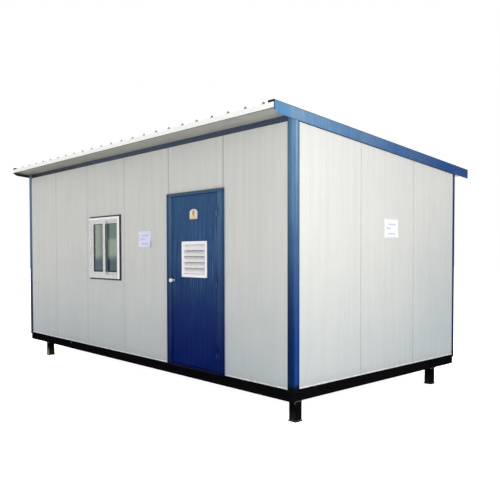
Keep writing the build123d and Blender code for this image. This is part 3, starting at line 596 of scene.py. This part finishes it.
class Solids:
    """Gathers small closed shapes, in metres, into one piece."""

    SMOOTH_ANGLE = math.radians(35.0)

    def __init__(self):
        self.mesh = bmesh.new()

    def loft(self, rings, closed=False):
        """Skin over rings of equal length; the first and last are capped unless it closes on itself."""
        rows = [[self.mesh.verts.new(p) for p in ring] for ring in rings]
        count = len(rows[0])
        for a, b in zip(rows, rows[1:] + rows[:1] if closed else rows[1:]):
            for i in range(count):
                j = (i + 1) % count
                self.mesh.faces.new((a[i], a[j], b[j], b[i]))
        if not closed:
            self.mesh.faces.new(rows[0])
            self.mesh.faces.new(rows[-1])

    def turned(self, profile, place, axis, steps=12, turn=0.0):
        """A solid of revolution from (radius, height) points, standing on place along axis."""
        standing = Vector(axis).to_track_quat("Z", "Y").to_matrix()
        angles = [turn + 2 * math.pi * k / steps for k in range(steps)]
        self.loft(
            [
                [Vector(place) + standing @ Vector((r * math.cos(a), r * math.sin(a), height)) for a in angles]
                for r, height in profile
            ]
        )

    def slab(self, low, high, edge):
        """A box with its arrises taken off."""
        (x0, y0, z0), (x1, y1, z1) = low, high

        def ring(z, inset):
            a0, a1, b0, b1 = x0 + inset, x1 - inset, y0 + inset, y1 - inset
            e = edge
            return [
                (a0 + e, b0, z), (a1 - e, b0, z), (a1, b0 + e, z), (a1, b1 - e, z),
                (a1 - e, b1, z), (a0 + e, b1, z), (a0, b1 - e, z), (a0, b0 + e, z),
            ]

        self.loft([ring(z0, edge), ring(z0 + edge, 0.0), ring(z1 - edge, 0.0), ring(z1, edge)])

    def relief(self, x, y, outlines):
        """A low relief that faces the front, from (half width, bottom, top, distance out of plane y)."""
        self.loft(
            [
                [(x - w, y - out, z0), (x + w, y - out, z0), (x + w, y - out, z1), (x - w, y - out, z1)]
                for w, z0, z1, out in outlines
            ]
        )

    def border(self, x0, x1, z0, z1, y, section):
        """A mitred frame in the plane y: section has (outwards, towards the front) points."""
        self.loft(
            [
                [
                    (x0 - out, y - deep, z0 - out),
                    (x1 + out, y - deep, z0 - out),
                    (x1 + out, y - deep, z1 + out),
                    (x0 - out, y - deep, z1 + out),
                ]
                for out, deep in section
            ],
            closed=True,
        )

    def bead(self, path, radius, ripple=0.0, sides=6, closed=False, seed=1):
        """A round bead along a path, with the ripples of a weld or of gunned sealant."""
        chance = random.Random(seed)
        points = [Vector(p) for p in path]
        rings = []
        count = len(points)
        for i, point in enumerate(points):
            before = points[i - 1] if i or closed else point
            after = points[(i + 1) % count] if i < count - 1 or closed else point
            turned = (after - before).normalized().to_track_quat("Z", "Y").to_matrix()
            r = radius * (1.0 + ripple * (math.sin(i * 2.1) + chance.uniform(-0.6, 0.6)))
            rings.append(
                [
                    point + turned @ Vector((r * math.cos(a), r * math.sin(a), 0.0))
                    for a in (2 * math.pi * k / sides for k in range(sides))
                ]
            )
        self.loft(rings, closed)

    def sheet(self, wall, corner, size, curl):
        """A thin sheet on a wall, from its lower left corner; curl(u, v) lifts it off."""
        columns, rows, thick = 18, 14, 0.0003

        def at(i, j, side):
            u, v = i / columns, j / rows
            return wall(corner[0] + u * size[0], corner[1] + v * size[1], curl(u, v) + thick * side)

        sides = [
            [[self.mesh.verts.new(at(i, j, side)) for j in range(rows + 1)] for i in range(columns + 1)]
            for side in (0, 1)
        ]
        for v in sides:
            for i in range(columns):
                for j in range(rows):
                    self.mesh.faces.new((v[i][j], v[i + 1][j], v[i + 1][j + 1], v[i][j + 1]))
        a, b = sides
        edge = [(i, 0) for i in range(columns)] + [(columns, j) for j in range(rows)]
        edge += [(i, rows) for i in range(columns, 0, -1)] + [(0, j) for j in range(rows, 0, -1)]
        for (i, j), (k, m) in zip(edge, edge[1:] + edge[:1]):
            self.mesh.faces.new((a[i][j], a[k][m], b[k][m], b[i][j]))

    def done(self, name, material, body, slot):
        """Make the piece, which rides a body; the slot it is given is not used."""
        bmesh.ops.recalc_face_normals(self.mesh, faces=self.mesh.faces)
        data = bpy.data.meshes.new(name)
        self.mesh.to_mesh(data)
        self.mesh.free()
        for face in data.polygons:
            face.use_smooth = True
        data.set_sharp_from_angle(angle=self.SMOOTH_ANGLE)
        data.materials.append(material)
        piece = bpy.data.objects.new(name, data)
        bpy.context.scene.collection.objects.link(piece)
        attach(piece, body)


def on_front(along, height, out):
    """A point out from the front wall."""
    return along, FRONT_Y - out, height


def on_gable(along, height, out):
    """A point out from the right gable."""
    return END_X + out, along, height


# ---------------------------------------------------------------- window
# Rubber flange round the frame: it laps the wall and turns up the side of the frame
FLANGE = (
    (0.0, -0.002), (0.022, -0.002), (0.022, 0.0015), (0.020, 0.003),
    (0.006, 0.0035), (0.002, 0.006), (0.0015, 0.0175), (0.0, 0.0185),
)
gasket = Solids()
gasket.border(WINDOW_X0, WINDOW_X1, WINDOW_Z0, WINDOW_Z1, FRONT_Y, FLANGE)
gasket.done("window_gasket", RUBBER, "cabin", "window_white")

# Rubber beads that hold the panes from the front and from the back
FRONT_BEAD = ((0.0, 0.0), (0.0, 0.0065), (-0.003, 0.0055), (-0.007, 0.001), (-0.007, 0.0))
BACK_BEAD = ((0.0, 0.0), (-0.005, 0.0), (-0.005, -0.001), (-0.003, -0.0055), (0.0, -0.0065))
beads = Solids()
for x0, x1, front, back in PANES:
    beads.border(x0, x1, GLASS_Z0, GLASS_Z1, front, FRONT_BEAD)
    beads.border(x0, x1, GLASS_Z0, GLASS_Z1, back, BACK_BEAD)
beads.done("glazing_beads", RUBBER, "cabin", "window_white")

# Pile strips: along the foot of the panes, on the meeting stile and in the empty half of each track
pile = Solids()
for x0, x1, front, _ in PANES:
    low = (x0 + 0.0075, front - 0.0062, GLASS_Z0 + 0.002)
    high = (x1 - 0.0075, front - 0.0002, GLASS_Z0 + 0.017)
    pile.slab(low, high, 0.0012)
for low, high, edge in (
    ((-0.4688, -1.5385, 1.364), (-0.4672, -1.5215, 2.010), 0.0004),
    ((-0.8548, -1.5150, 1.340), (-0.8528, -1.4785, 2.034), 0.0005),
    ((-0.1472, -1.5405, 1.340), (-0.1452, -1.5205, 2.034), 0.0005),
):
    pile.slab(low, high, edge)
# Tufts that stand up from the strip in the left track
TUFT_PITCH, TUFT_HEIGHT = 0.0125, 0.0085
for z in row(1.345, 2.028, TUFT_PITCH):
    pile.slab((-0.8530, -1.5100, z), (-0.8490, -1.5060, z + TUFT_HEIGHT), 0.0008)
pile.done("window_pile_strips", PILE, "cabin", "window_white")

# Pulls on the sashes, from (half width, half height, distance out), and hoods over the frame's drip slots
PULL_Z = 1.655
PULL = (
    (0.013, 0.052, 0.0), (0.013, 0.052, 0.0014), (0.011, 0.050, 0.0026),
    (0.008, 0.044, 0.0026), (0.007, 0.042, 0.0008), (0.0065, 0.041, 0.0008),
)
HOOD = ((0.019, 1.292, 1.306, 0.0), (0.018, 1.2935, 1.303, 0.0035), (0.016, 1.2945, 1.300, 0.0048))
pulls = Solids()
for x, y in ((-0.824, -1.541), (-0.176, -1.516)):
    pulls.relief(x, y, [(w, PULL_Z - h, PULL_Z + h, out) for w, h, out in PULL])
for x in (-0.76, -0.50, -0.24):
    pulls.relief(x, WINDOW_Y, HOOD)
pulls.done("window_pulls", WINDOW, "cabin", "window_white")

# Latch on the inner side of the meeting stile: a plate, a boss and a lever
x, y, z = -0.510, -1.488, 1.670
LEVER = ((0.000, 0.004, 0.000), (0.020, 0.005, 0.006), (0.040, 0.005, 0.014))
latch = Solids()
latch.slab((x - 0.013, y - 0.006, z - 0.030), (x + 0.013, y, z + 0.030), 0.0015)
latch.turned(((0.009, 0.0), (0.009, 0.004), (0.007, 0.006)), (x, y, z), TO_BACK, 16)
latch.bead([(x + dx, y + dy, z + dz) for dx, dy, dz in LEVER], 0.0035, sides=8)
latch.done("window_latch", WINDOW, "cabin", "window_white")


# ---------------------------------------------------------------- sheets and plate
def curled(low_left, low_right, wave):
    """Sheet shape: nearly flat, waved by damp, with its lower corners off the wall."""
    lift = 0.0004

    def curl(u, v):
        left = low_left * max(0.0, 1.0 - 2.6 * u - 1.4 * v) ** 2
        right = low_right * max(0.0, 1.6 * u - 0.6 - 1.7 * v) ** 2
        return lift + (left + right) + wave * (1 + math.sin(7.0 * u + 1.3)) * (1 + math.sin(4.3 * v)) * 0.25

    return curl


front_sheet = Solids()
front_sheet.sheet(on_front, *FRONT_SHEET, curled(0.010, 0.016, 0.0022))
front_sheet.done("front_sheet", PAPER_FRONT, "cabin", "window_white")
gable_sheet = Solids()
gable_sheet.sheet(on_gable, *GABLE_SHEET, curled(0.0, 0.009, 0.0018))
gable_sheet.done("gable_sheet", PAPER_GABLE, "cabin", "window_white")

# Strips of tape aslant over corners of the sheets: 1 is the left or the top, -1 the right or the bottom
TAPE_REACH, TAPE_OVER, TAPE_HALF = 0.026, 0.010, 0.009
tapes = Solids()
for wall, ((left, bottom), (width, height)), top, corners in (
    (on_front, FRONT_SHEET, 0.0034, ((1, 1), (-1, 1))),
    (on_gable, GABLE_SHEET, 0.0030, ((1, 1), (-1, 1), (1, -1))),
):
    for across, upwards in corners:
        corner = Vector((left if across > 0 else left + width, bottom + height if upwards > 0 else bottom))
        start = corner - Vector((across * TAPE_OVER, upwards * TAPE_REACH))
        end = corner + Vector((across * TAPE_REACH, upwards * TAPE_OVER))
        along = end - start
        side = Vector((along.y, -along.x)).normalized() * TAPE_HALF
        ring = (start + side, end + side, end - side, start - side)
        tapes.loft([[wall(*point, out) for point in ring] for out in (0.0006, top)])
tapes.done("sheet_tapes", TAPE, "cabin", "window_white")


def plate_outline(y, inset):
    """Outline of the plate at depth y: rounded lower corners, and arched from the shoulders up."""
    half = PLATE_WIDTH / 2 - inset
    bottom, top = PLATE_Z - PLATE_HEIGHT / 2 + inset, PLATE_Z + PLATE_HEIGHT / 2 - inset
    shoulder = PLATE_Z + PLATE_HEIGHT * 0.18
    radius = 0.012

    def corner(x, start):
        angles = [math.radians(start + a) for a in range(0, 91, 18)]
        return [(x + radius * math.cos(a), y, bottom + radius + radius * math.sin(a)) for a in angles]

    angles = [math.pi * k / 16 for k in range(17)]
    arch = [(PLATE_X + half * math.cos(a), y, shoulder + (top - shoulder) * math.sin(a)) for a in angles]
    return corner(PLATE_X + half - radius, -90) + arch + corner(PLATE_X - half + radius, 180)


# Distance off the leaf and inset of each outline: a rolled rim round a flat face
PLATE_RIM = ((0.0, 0.0), (0.0010, 0.0), (0.0018, 0.0008), (0.0018, 0.006), (0.0014, 0.007))
plate = Solids()
plate.loft([plate_outline(PLATE_Y - out, inset) for out, inset in PLATE_RIM])
plate.done("door_plate", PLATE, "door", "vent_white")

# ---------------------------------------------------------------- door
# Rubber strips on the stops: down both jambs and under the head
SEAL_FRONT, SEAL_BACK, SEAL_TOP = -1.4913, -1.4870, 2.2568
seal = Solids()
for x0, x1, z0 in ((1.0830, 1.0902, 0.346), (1.9098, 1.9170, 0.346), (1.0910, 1.9090, 2.2496)):
    seal.slab((x0, SEAL_FRONT, z0), (x1, SEAL_BACK, SEAL_TOP), 0.0014)
seal.done("door_seal", RUBBER, "cabin", "door_paint")

# Four screws in each strap of the three hinges
SCREW = (
    (0.0042, 0.0), (0.0042, 0.0006), (0.0034, 0.0017), (0.0016, 0.0023), (0.0015, 0.0012), (0.0004, 0.0012),
)
HINGE_Y, HINGE_MIDDLES = -1.548, (0.543, 1.3015, 2.060)
frame_screws, leaf_screws = Solids(), Solids()
for screws, x in ((frame_screws, 1.944), (leaf_screws, 1.901)):
    for middle in HINGE_MIDDLES:
        for dz, dx in ((-0.036, -0.004), (-0.012, 0.004), (0.012, 0.004), (0.036, -0.004)):
            screws.turned(SCREW, (x + dx, HINGE_Y, middle + dz), TO_FRONT)
frame_screws.done("hinge_screws_on_frame", HINGE, "cabin", "hinge_steel")
leaf_screws.done("hinge_screws_on_door", HINGE, "door", "hinge_steel")

# Lock cylinder in the tip of the knob, with its keyway
CYLINDER = ((0.0085, -0.002), (0.0085, 0.0006), (0.0078, 0.0012), (0.0012, 0.0010))
lock = Solids()
lock.turned(CYLINDER, KNOB_TIP, TO_FRONT, 20)
lock.done("lock_cylinder", SATIN, "knob", "knob_steel")
x, y, z = KNOB_TIP
keyway = Solids()
keyway.slab((x - 0.0008, y - 0.0015, z - 0.0045), (x + 0.0008, y - 0.0009, z + 0.0045), 0.0002)
keyway.done("lock_keyway", RUBBER, "knob", "knob_steel")

# Insect screen clipped behind the louvre: a thin frame with wires down and across
SCREEN_INSET, SCREEN_MESH, WIRE_RADIUS = 0.036, 0.0042, 0.0006
SCREEN_Y, DOWN_Y, ACROSS_Y = -1.4915, -1.4907, -1.4904
SCREEN_RIM = ((0.0, 0.0), (0.012, 0.0), (0.012, -0.0015), (0.0, -0.0015))
half_width, half_height = VENT_WIDTH / 2 - SCREEN_INSET, VENT_HEIGHT / 2 - SCREEN_INSET
x0, x1, z0, z1 = VENT_X - half_width, VENT_X + half_width, VENT_Z - half_height, VENT_Z + half_height
screen = Solids()
screen.border(x0, x1, z0, z1, SCREEN_Y, SCREEN_RIM)
for x in row(x0, x1, SCREEN_MESH):
    screen.bead([(x, DOWN_Y, z0), (x, DOWN_Y, z1)], WIRE_RADIUS, sides=4)
for z in row(z0, z1, SCREEN_MESH):
    screen.bead([(x0, ACROSS_Y, z), (x1, ACROSS_Y, z)], WIRE_RADIUS, sides=4)
screen.done("vent_insect_screen", VENT, "door", "vent_white")

# Screws of the vent's flange
FLANGE_Y, FROM_FLANGE_EDGE = -1.535, 0.014
across, upwards = VENT_WIDTH / 2 - FROM_FLANGE_EDGE, VENT_HEIGHT / 2 - FROM_FLANGE_EDGE
vent_screws = Solids()
for x in (VENT_X - across, VENT_X + across):
    for z in (VENT_Z - upwards, VENT_Z, VENT_Z + upwards):
        vent_screws.turned(SCREW, (x, FLANGE_Y, z), TO_FRONT)
vent_screws.done("vent_screws", STEEL, "door", "vent_white")

# ---------------------------------------------------------------- roof, trims and base
# Hexagon screws with rubber washers: five rows on the ribs, and one along each verge trim
WASHER = ((0.0085, 0.0), (0.0085, 0.0010), (0.0060, 0.0026), (0.0052, 0.0026))
HEXAGON = ((0.0052, 0.0024), (0.0052, 0.0060), (0.0042, 0.0068))
CREST, VERGE_TOP, VERGE_SCREW_X = 0.070, 0.072, 2.958
FIRST_RIB_X = -2.875
on_roof = []
for y in (-1.66, -0.83, 0.0, 0.83, 1.66):
    for k in range(RIB_COUNT):
        on_roof.append(((FIRST_RIB_X + RIB_PITCH * k, y, roof_z(y) + CREST), 0.37 * k + y))
for x in (-VERGE_SCREW_X, VERGE_SCREW_X):
    for y in row(-1.55, 1.55, 0.5):
        on_roof.append(((x, y, roof_z(y) + VERGE_TOP), y))
roof_screws, roof_washers = Solids(), Solids()
for place, turn in on_roof:
    roof_washers.turned(WASHER, place, OFF_ROOF)
    roof_screws.turned(HEXAGON, place, OFF_ROOF, 6, turn)
roof_screws.done("roof_screws", STEEL, "cabin", "hinge_steel")
roof_washers.done("roof_washers", RUBBER, "cabin", "hinge_steel")

# Blind rivets up both legs of each corner trim, and along the head tracks
RIVET = (
    (0.0048, 0.0), (0.0047, 0.0007), (0.0036, 0.0017), (0.0014, 0.0020), (0.0010, 0.0013), (0.0003, 0.0013),
)
TRIM_T, RIVET_PITCH, EAVE_PITCH, GABLE_PITCH = 0.002, 0.33, 0.4, 0.433
front_face, back_face, end_face = FRONT_Y - TRIM_T, BACK_Y + TRIM_T, END_X + TRIM_T
rivets = Solids()
for x, y, axis in (
    (2.962, front_face, TO_FRONT), (end_face, -1.447, TO_RIGHT),
    (-2.925, front_face, TO_FRONT), (-end_face, -1.487, TO_LEFT),
    (-2.962, back_face, TO_BACK), (-end_face, 1.397, TO_LEFT),
    (2.925, back_face, TO_BACK), (end_face, 1.437, TO_RIGHT),
):
    for z in row(0.36, roof_z(y) - 0.09, RIVET_PITCH):
        rivets.turned(RIVET, (x, y, z), axis, 10)
rivets.done("corner_trim_rivets", TRIM, "cabin", "blue_trim")
track_rivets = Solids()
for x in row(-2.80, 2.80, EAVE_PITCH):
    for y, axis in ((front_face, TO_FRONT), (back_face, TO_BACK)):
        track_rivets.turned(RIVET, (x, y, roof_z(y) - 0.040), axis, 10)
for y in row(-1.30, 1.30, GABLE_PITCH):
    for x, axis in ((-end_face, TO_LEFT), (end_face, TO_RIGHT)):
        track_rivets.turned(RIVET, (x, y, roof_z(y) - 0.0445), axis, 10)
track_rivets.done("head_track_rivets", TRACK, "cabin", "track_navy")

# Weld beads round the head and the foot of each leg, at the height and of the radius given
LEG_WELDS = ((0.1975, 0.0045), (0.0105, 0.0048))
reach = LEG_HALF + 0.001
welds = Solids()
for k, (x, y) in enumerate(LEGS):
    corners = [(x - reach, y - reach), (x + reach, y - reach), (x + reach, y + reach), (x - reach, y + reach)]
    for z, radius in LEG_WELDS:
        path = [
            (ax + (bx - ax) * t, ay + (by - ay) * t, z)
            for (ax, ay), (bx, by) in zip(corners, corners[1:] + corners[:1])
            for t in row(0.0, 1.0, 0.07)[:-1]
        ]
        welds.bead(path, radius, 0.16, closed=True, seed=10 + k)
welds.done("leg_weld_beads", WELD, "cabin", "base_steel")

# Weld beads up the mitres of the base frame
PROUD = 0.0006
mitres = Solids()
for side in (1, -1):
    for y in (BASE_Y0 - PROUD, BASE_Y1 + PROUD):
        path = [(side * (BASE_X + PROUD), y, z) for z in row(0.204, 0.283, 0.006)]
        mitres.bead(path, 0.0034, 0.18, seed=31)
mitres.done("corner_weld_beads", BASE, "cabin", "base_steel")

# Sealant along the foot of the walls, between the corner trims and the door
FOOT_Z, FOOT_OUT, FOOT_RADIUS, FOOT_RIPPLE, FOOT_STEP = 0.3212, 0.0015, 0.0024, 0.22, 0.03
front, back, end = FRONT_Y - FOOT_OUT, BACK_Y + FOOT_OUT, END_X + FOOT_OUT
sealant = Solids()
for x0, x1, y in ((-2.895, 0.975, front), (2.025, 2.940, front), (-2.940, 2.895, back)):
    sealant.bead([(x, y, FOOT_Z) for x in row(x0, x1, FOOT_STEP)], FOOT_RADIUS, FOOT_RIPPLE, seed=41)
for x, y0, y1 in ((end, -1.420, 1.415), (-end, -1.465, 1.370)):
    sealant.bead([(x, y, FOOT_Z) for y in row(y0, y1, FOOT_STEP)], FOOT_RADIUS, FOOT_RIPPLE, seed=42)
sealant.done("wall_foot_sealant", SEALANT, "cabin", "wall_panel")

# Sealant at the bottom of the panel joints: (along the wall, into the wall) points
FILLING = ((-0.0028, 0.0030), (0.0028, 0.0030), (0.0012, 0.0016), (-0.0012, 0.0016))
WALL_FOOT = 0.324
joints = Solids()
for x in PANEL_JOINTS_X:
    for y, inwards in ((FRONT_Y, 1), (BACK_Y, -1)):
        over_door = y == FRONT_Y and x in (1.0, 2.0)
        low, high = DOOR_HEAD_Z + 0.006 if over_door else WALL_FOOT, roof_z(y) - 0.060
        joints.loft([[(x + along, y + inwards * deep, z) for along, deep in FILLING] for z in (low, high)])
for y in PANEL_JOINTS_Y:
    for side in (-1, 1):
        low, high = WALL_FOOT, roof_z(y) - 0.050
        joints.loft([[(side * (END_X - deep), y + along, z) for along, deep in FILLING] for z in (low, high)])
joints.done("panel_joint_sealant", JOINT, "cabin", "wall_panel")

# Countersunk screws of the deck, over the joists and the end beams
DECK_SCREW = ((0.0045, -0.0004), (0.0045, 0.0003), (0.0020, 0.0003), (0.0016, -0.0002))
JOIST_PITCH, END_ROW_X, DECK_PITCH, DECK_TOP = 0.995, 2.94, 0.275, 0.338
deck_screws = Solids()
for x in (-END_ROW_X, *(JOIST_PITCH * k for k in (-2, -1, 0, 1, 2)), END_ROW_X):
    for y in row(-1.40, 1.35, DECK_PITCH):
        deck_screws.turned(DECK_SCREW, (x, y, DECK_TOP), UP, 8)
deck_screws.done("deck_screws", STEEL, "cabin", "deck_board")


# ---------------------------------------------------------------- studio
def lamp(name, kind, energy):
    data = bpy.data.lights.new(name, kind)
    data.energy = energy
    holder = bpy.data.objects.new(name, data)
    bpy.context.scene.collection.objects.link(holder)
    return data, holder


bpy.context.scene.view_settings.view_transform = "Standard"

# A lamp beside the camera lights the near half of the gable
KEY_PLACE, KEY_TARGET = Vector((5.9, -2.2, 2.9)), Vector((3.0, -0.9, 1.7))
key_data, key = lamp("key", "AREA", 60)
key_data.shape = "DISK"
key_data.size = 1.6
turned = (KEY_TARGET - KEY_PLACE).to_track_quat("-Z", "Y").to_matrix().to_4x4()
key.matrix_world = Matrix.Translation(KEY_PLACE) @ turned
overhead_data, _ = lamp("overhead", "SUN", 1.34)
overhead_data.angle = math.radians(30)

# White world, weaker as a light than as it is seen directly, mirrored or through glass
WORLD_LIGHT, WORLD_SEEN = 0.71, 1.0
world = bpy.data.worlds.new("studio")
bpy.context.scene.world = world
world.use_nodes = True
tree = world.node_tree
background = tree.nodes["Background"]
background.inputs["Color"].default_value = (1.0, 1.0, 1.0, 1.0)
paths = tree.nodes.new("ShaderNodeLightPath")
mirrored = tree.nodes.new("ShaderNodeMath")
mirrored.operation = "MAXIMUM"
tree.links.new(paths.outputs["Is Glossy Ray"], mirrored.inputs[0])
tree.links.new(paths.outputs["Is Transmission Ray"], mirrored.inputs[1])
seen = tree.nodes.new("ShaderNodeMath")
seen.operation = "MAXIMUM"
tree.links.new(paths.outputs["Is Camera Ray"], seen.inputs[0])
tree.links.new(mirrored.outputs[0], seen.inputs[1])
strength = tree.nodes.new("ShaderNodeMapRange")
strength.inputs["To Min"].default_value = WORLD_LIGHT
strength.inputs["To Max"].default_value = WORLD_SEEN
tree.links.new(seen.outputs[0], strength.inputs["Value"])
tree.links.new(strength.outputs[0], background.inputs["Strength"])

# White floor that shines for the camera alone, and all white from some way off
FLOOR_HALF = 60
floor_mesh = bpy.data.meshes.new("floor")
floor_corners = [(x * FLOOR_HALF, y * FLOOR_HALF, 0) for x, y in ((-1, -1), (1, -1), (1, 1), (-1, 1))]
floor_mesh.from_pydata(floor_corners, [], [(0, 1, 2, 3)])
floor = bpy.data.objects.new("floor", floor_mesh)
bpy.context.scene.collection.objects.link(floor)
ground = Paint("floor_paint", roughness=0.9)
ground.set("Base Color", (0.88, 0.88, 0.88, 1.0))
far = ground.add("ShaderNodeVectorMath", operation="LENGTH")
ground.put(ground.position, far.inputs[0])
shine = ground.span(far.outputs["Value"], 3.0, 9.0, 0.95, 1.0)
to_camera = ground.add("ShaderNodeLightPath").outputs["Is Camera Ray"]
glow = ground.add("ShaderNodeEmission")
ground.put(ground.times(shine, to_camera), glow.inputs["Strength"])
blend = ground.add("ShaderNodeAddShader")
ground.put(ground.shader.outputs[0], blend.inputs[0])
ground.put(glow.outputs[0], blend.inputs[1])
ground.put(blend.outputs[0], ground.tree.nodes["Material Output"].inputs["Surface"])
floor_mesh.materials.append(ground.material)
